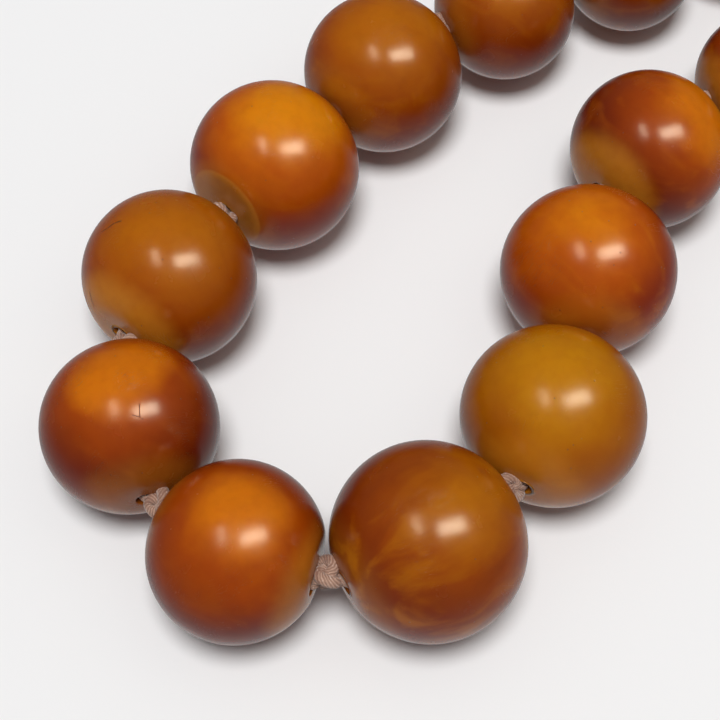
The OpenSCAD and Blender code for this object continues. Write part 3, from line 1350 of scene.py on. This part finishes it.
@dataclass
class Studio:
    """Pale floor, soft light from above and the camera."""

    floor_size: float = 24.0
    daylight: float = 2.52
    daylight_spread: float = math.radians(20)
    look_at: Vector = field(default_factory=lambda: Vector((0.00798, -0.16984, 0.013)))
    azimuth: float = math.radians(64.07)
    elevation: float = math.radians(60.56)
    distance: float = 0.29408
    view: float = math.radians(20)
    daylight_from: tuple[float, float, float] = (0.17, -0.10, 0.97)
    windows: tuple[Window, ...] = (
        Window("window_left", (0.0, -0.28, 0.96), (0.13, 0.36), 1.6, math.radians(75)),
        Window("window_right", (0.29, 0.32, 0.90), (0.25, 0.58), 7.2, math.radians(38)),
    )
    glow: tuple[float, float] = (0.04, 0.36)
    glow_span: tuple[float, float] = (0.0, 1.0)
    polish: tuple[float, float] = (0.62, 0.08)
    polish_span: tuple[float, float] = (-0.95, -0.25)
    warmth: tuple[float, float, float] = (1.0, 0.88, 0.66)

    def _floor(self) -> None:
        """Lays the paper floor."""
        shape = bmesh.new()
        bmesh.ops.create_grid(shape, x_segments=2, y_segments=2, size=self.floor_size / 2)
        bmesh.ops.translate(shape, verts=shape.verts[:], vec=(0, 0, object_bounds()[0][2]))
        mesh = bpy.data.meshes.new("paper_floor")
        shape.to_mesh(mesh)
        shape.free()
        mesh.materials.append(Backdrop().material())
        floor = bpy.data.objects.new("paper_floor", mesh)
        bpy.context.scene.collection.objects.link(floor)
        floor.visible_glossy = False
        floor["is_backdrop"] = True

    def _softbox(self, window: Window) -> None:
        """Hangs a window that shows in the beads' polish.

        Args:
            window: The window.
        """
        data = bpy.data.lights.new(window.name, "AREA")
        data.shape = "RECTANGLE"
        data.size, data.size_y = window.size
        data.energy = window.power
        data.color = self.warmth
        lamp = bpy.data.objects.new(window.name, data)
        lamp.visible_diffuse = False
        bpy.context.scene.collection.objects.link(lamp)
        towards = Vector(window.towards)
        turned = towards.to_track_quat("Z", "Y").to_matrix().to_4x4()
        place = Matrix.Translation(self.look_at + towards.normalized())
        lamp.matrix_world = place @ turned @ Matrix.Rotation(window.roll, 4, "Z")

    def _daylight(self) -> None:
        """Soft light from high above, the same everywhere, that doesn't show in the polish."""
        towards = Vector(self.daylight_from)
        data = bpy.data.lights.new("daylight", "SUN")
        data.energy = self.daylight
        data.angle = self.daylight_spread
        lamp = bpy.data.objects.new("daylight", data)
        lamp.visible_glossy = False
        bpy.context.scene.collection.objects.link(lamp)
        lamp.matrix_world = towards.to_track_quat("Z", "Y").to_matrix().to_4x4()

    def _surroundings(self) -> None:
        """White surroundings: the sky lights the beads, and mostly the low walls show in their polish."""
        world = bpy.data.worlds.new("white_room")
        bpy.context.scene.world = world
        world.use_nodes = True
        tree = world.node_tree
        nodes = tree.nodes
        backing = nodes["Background"]
        backing.inputs["Color"].default_value = (1.0, 1.0, 1.0, 1.0)
        world.cycles.sampling_method = "NONE"
        place = nodes.new("ShaderNodeTexCoord")
        parts = nodes.new("ShaderNodeSeparateXYZ")
        tree.links.new(place.outputs["Generated"], parts.inputs[0])
        path = nodes.new("ShaderNodeLightPath")
        mix = nodes.new("ShaderNodeMix")
        tree.links.new(path.outputs["Is Glossy Ray"], mix.inputs["Factor"])
        for side, span, levels in (("A", self.glow_span, self.glow), ("B", self.polish_span, self.polish)):
            rise = nodes.new("ShaderNodeMapRange")
            for socket, value in zip(("From Min", "From Max", "To Min", "To Max"), (*span, *levels)):
                rise.inputs[socket].default_value = value
            tree.links.new(parts.outputs["Z"], rise.inputs["Value"])
            tree.links.new(rise.outputs["Result"], mix.inputs[side])
        tree.links.new(mix.outputs["Result"], backing.inputs["Strength"])

    def build(self) -> None:
        """Sets up floor, lights, surroundings, colour and camera."""
        self._floor()
        for window in self.windows:
            self._softbox(window)
        self._daylight()
        self._surroundings()
        scene = bpy.context.scene
        scene.view_settings.view_transform = "Standard"
        data = bpy.data.cameras.new("camera")
        data.angle = self.view
        data.clip_start = 0.01
        camera = bpy.data.objects.new("camera", data)
        scene.collection.objects.link(camera)
        flat = math.cos(self.elevation)
        back = Vector(
            (math.sin(self.azimuth) * flat, -math.cos(self.azimuth) * flat, math.sin(self.elevation))
        )
        turned = back.to_track_quat("Z", "Y").to_matrix().to_4x4()
        camera.matrix_world = Matrix.Translation(self.look_at + back * self.distance) @ turned
        scene.camera = camera


# --- the beads of this strand ------------------------------------------

# The direction and the two bounds after each tone place the painted glow of light from above and the painted
# shade on the far side.
LOOKS: dict[int, Resin] = {
    13: Resin(Tone.GOLDEN, (0.1, 0.1, 1.0), marble=0.3, pits=0.2),
    14: Resin(Tone.GOLDEN, (0.0, 0.1, 1.0), 0.55, 1.05, 0.4, (0.8, 0.5, 0.2), pits=0.1),
    15: Resin(Tone.ORANGE, (0.0, 0.3, 0.95), 0.62, 1.0, 0.1, pale_finish=0.3, disc=0.5),
    16: Resin(
        Tone.GOLDEN,
        (0.0, 0.1, 1.0),
        0.60,
        1.05,
        0.22,
        pale_finish=0.6,
        pale_from=0.74,
        cracks=(
            Crack((-0.42, -0.46, 0.78), (0.44, 0.90, 0.0), 0.17, 0.010),
            Crack((-0.40, -0.40, 0.82), (0.56, 0.84, -0.07), 0.10, 0.008),
            Crack((-0.06, -0.99, 0.10), (0.96, 0.0, -0.5), 0.14, 0.012),
            Crack((0.04, -0.96, 0.26), (0.7, -0.3, -0.5), 0.12, 0.010),
        ),
    ),
    17: Resin(
        Tone.RUSSET,
        (-0.25, 0.05, 0.97),
        0.76,
        1.0,
        0.1,
        pale_finish=0.25,
        pale_from=0.80,
        cracks=(
            Crack((0.36, 0.06, 0.93), (-0.78, 0.38, 0.49), 0.09, 0.006),
            Crack((0.40, 0.00, 0.92), (0.5, 0.8, -0.2), 0.05, 0.005),
        ),
        pits=0.7,
        hairlines=0.5,
    ),
    18: Resin(Tone.RUSSET, (0.05, 0.05, 1.0), 0.72, 0.98, 0.1, pale_finish=0.4, pale_from=0.80, pits=0.15),
    19: Resin(Tone.CHESTNUT, (0.1, 0.4, 0.9), 0.6, 1.25, 0.52, (-0.1, 1.0, 0.0), pale_start=0.2, pits=0.1),
    20: Resin(Tone.OCHRE, (0.0, 0.0, 1.0), 0.5, 1.05, 0.12, pale_start=0.4, pits=0.35),
    21: Resin(Tone.ORANGE, (-0.1, -0.1, 1.0), 0.78, 1.15, 0.2, pits=0.4, hairlines=0.5),
    22: Resin(Tone.RUSSET, (0.2, 0.6, 0.75), 0.66, 0.95, 0.2, pale_start=0.6, pale_from=0.74),
    23: Resin(Tone.RUSSET, (0.0, 0.3, 0.95), marble=0.25, pale_start=0.5),
}

ENDS: dict[int, tuple] = {
    15: ((0.94, 0.0, 0.0), (0.85, 0.0, 0.10)),
    16: ((0.92, 0.0, 0.0), (0.90, 0.0, 0.0)),
    17: ((0.93, 0.0, 0.0), (0.92, 0.0, 0.0)),
    18: ((0.93, 0.0, 0.0), (0.89, 0.22, 0.0)),
}


def bead_look(number: int) -> Resin:
    """Finish of a bead: its own where it has one, or one drawn by its number.

    Args:
        number: The bead's number.

    Returns:
        The finish.
    """
    if number in LOOKS:
        return LOOKS[number]
    chance = random.Random(100 + number)
    tone = chance.choice(list(Tone))
    # A painted glow of light from above, leaning a little at random, with painted shade on the far side.
    painted_glow_dir = (chance.uniform(-0.3, 0.3), chance.uniform(-0.3, 0.3), 0.95)
    painted_glow_from = chance.uniform(0.5, 0.8)
    marble = chance.uniform(0.1, 0.4)
    return Resin(tone, painted_glow_dir, painted_glow_from, 1.02, marble, pits=chance.uniform(0.1, 0.4))


def make_strand() -> Strand:
    """Returns the strand with every bead's own finish and wear."""
    beads = []
    for number in range(1, BEAD_COUNT + 1):
        start, finish = ENDS.get(number, ((0.93, 0.0, 0.0), (0.93, 0.0, 0.0)))
        beads.append(Bead(number, bead_look(number), start, finish))
    return Strand(beads, Thread())


def main() -> None:
    """Builds the pieces in order."""
    logging.basicConfig(level=logging.INFO, format="%(message)s")
    strand = make_strand()
    strand.build()
    # The leader's resin is painted with the same glow on top and painted shade below.
    Leader(Resin(Tone.RUSSET, (0.0, 0.0, 1.0), 0.3, 1.0, 0.4, pale_start=0, pale_finish=0)).build()
    warm = Thread(light=(0.45, 0.19, 0.085), deep=(0.16, 0.045, 0.018), filaments=6, slant=1.5, sparkle=0.35)
    Tassel(strand, warm).build()
    Studio().build()


if __name__ == "__main__":
    main()
